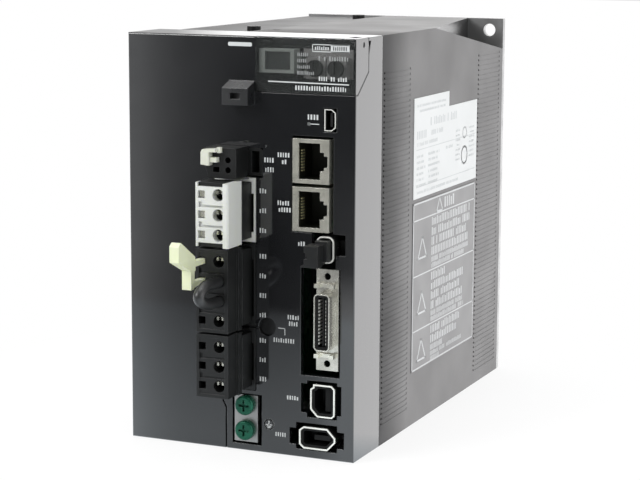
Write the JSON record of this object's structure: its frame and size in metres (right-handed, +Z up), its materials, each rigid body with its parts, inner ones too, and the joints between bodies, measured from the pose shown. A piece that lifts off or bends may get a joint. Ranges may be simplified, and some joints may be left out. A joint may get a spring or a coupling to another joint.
{
  "type": "servo drive",
  "caption": "Book-type servo drive with pluggable power terminals, a flip-up display cover, signal sockets on the front and a rear mounting plate.",
  "frame": {"origin": "rear mounting face, at the middle of its width and height", "axes": "+Z up, -Y out of the front panel, +X to the right seen from the front"},
  "size_m": [0.0892, 0.2005, 0.1507],
  "materials": {
    "black_gloss": "polished moulding",
    "smoked": "smoked window, see-through in the looks",
    "black_matte": "fine texture",
    "white_plastic": "fine texture",
    "natural_nylon": "translucent natural nylon",
    "bezel_grey": "fine texture",
    "sheet_steel": "coated galvanised sheet",
    "zinc_plate": "zinc plated",
    "cast_alu": "extruded and milled",
    "bright_steel": "nickel plated",
    "contact_metal": "plated contact",
    "board_green": "solder resist",
    "green_screw": "green passivated",
    "black_screw": "blackened",
    "lamp_lens": "tinted lens",
    "lamp_clear": "clear lamp",
    "chip_black": "epoxy",
    "capacitor_sleeve": "shrink sleeve",
    "copper_winding": "enamelled copper",
    "wire_sleeve": "insulated wire",
    "label_white": "printed film",
    "label_grey": "printed film"
  },
  "bodies": {
    "chassis": {"base_plate": "zinc_plate", "base_screws": "zinc_plate", "heat_sink": "cast_alu", "duct_cover": "sheet_steel", "duct_screws": "black_screw", "side_cover": "sheet_steel", "front_housing": "black_gloss", "cover_hinge_pins": "zinc_plate", "display_bezel": "bezel_grey", "digit_display": "chip_black", "status_lamps": "lamp_clear", "switch_bases": "chip_black", "control_board": "board_green", "power_board": "board_green", "board_posts": "zinc_plate", "board_screws": "zinc_plate", "dc_capacitors": "capacitor_sleeve", "power_modules": "chip_black", "regen_resistor": "cast_alu", "filter_choke": "copper_winding", "supply_transformer": "chip_black", "control_chips": "chip_black", "fan_frame": "black_matte", "usb_socket": "bright_steel", "jack_shields": "bright_steel", "jack_inserts": "black_matte", "connector_contacts": "contact_metal", "signal_plate": "bright_steel", "signal_insert": "black_matte", "signal_latches": "bright_steel", "safety_ring": "bright_steel", "scale_shell": "bright_steel", "encoder_shell": "bright_steel", "socket_inserts": "black_matte", "supply_header": "black_matte", "mains_header": "white_plastic", "power_headers": "black_matte", "header_pins": "contact_metal", "ground_bracket": "zinc_plate", "ground_screws": "green_screw", "charge_lamp": "lamp_lens", "rating_label": "label_white", "notice_label": "label_grey"},
    "display_cover": {"display_cover": "smoked"},
    "dial_left": {"dial_left": "white_plastic"},
    "dial_right": {"dial_right": "white_plastic"},
    "supply_plug": {"supply_plug": "black_matte", "supply_opener": "natural_nylon"},
    "mains_plug": {"mains_plug": "black_matte", "mains_face": "white_plastic", "mains_contacts": "bright_steel"},
    "regen_plug": {"regen_plug": "black_matte", "regen_contacts": "bright_steel", "jumper_wire": "wire_sleeve"},
    "opening_lever": {"opening_lever": "natural_nylon"},
    "motor_plug": {"motor_plug": "black_matte", "motor_contacts": "bright_steel"},
    "safety_plug": {"safety_plug": "black_matte"},
    "fan_rotor": {"fan_rotor": "black_matte"}
  },
  "joints": [
    {"name": "display_cover_hinge", "type": "hinge", "parent": "chassis", "child": "display_cover", "pos_m": [0.0255, -0.157, 0.0726], "axis": [-1, 0, 0], "range_deg": [0, 100]},
    {"name": "dial_left_turn", "type": "hinge", "parent": "chassis", "child": "dial_left", "pos_m": [0.0267, -0.158, 0.064], "axis": [0, -1, 0], "continuous": true},
    {"name": "dial_right_turn", "type": "hinge", "parent": "chassis", "child": "dial_right", "pos_m": [0.0346, -0.158, 0.064], "axis": [0, -1, 0], "continuous": true},
    {"name": "supply_plug_pull", "type": "slide", "parent": "chassis", "child": "supply_plug", "axis": [0, -1, 0], "range_m": [0, 0.0105]},
    {"name": "mains_plug_pull", "type": "slide", "parent": "chassis", "child": "mains_plug", "axis": [0, -1, 0], "range_m": [0, 0.0105]},
    {"name": "regen_plug_pull", "type": "slide", "parent": "chassis", "child": "regen_plug", "axis": [0, -1, 0], "range_m": [0, 0.0105]},
    {"name": "opening_lever_press", "type": "hinge", "parent": "regen_plug", "child": "opening_lever", "pos_m": [-0.00655, -0.1795, -0.0031], "axis": [1, 0, 0], "range_deg": [0, 8]},
    {"name": "motor_plug_pull", "type": "slide", "parent": "chassis", "child": "motor_plug", "axis": [0, -1, 0], "range_m": [0, 0.0105]},
    {"name": "safety_plug_pull", "type": "slide", "parent": "chassis", "child": "safety_plug", "axis": [0, -1, 0], "range_m": [0, 0.008]},
    {"name": "fan_spin", "type": "hinge", "parent": "chassis", "child": "fan_rotor", "pos_m": [-0.0279, -0.074, -0.068], "axis": [0, 0, 1], "continuous": true}
  ]
}
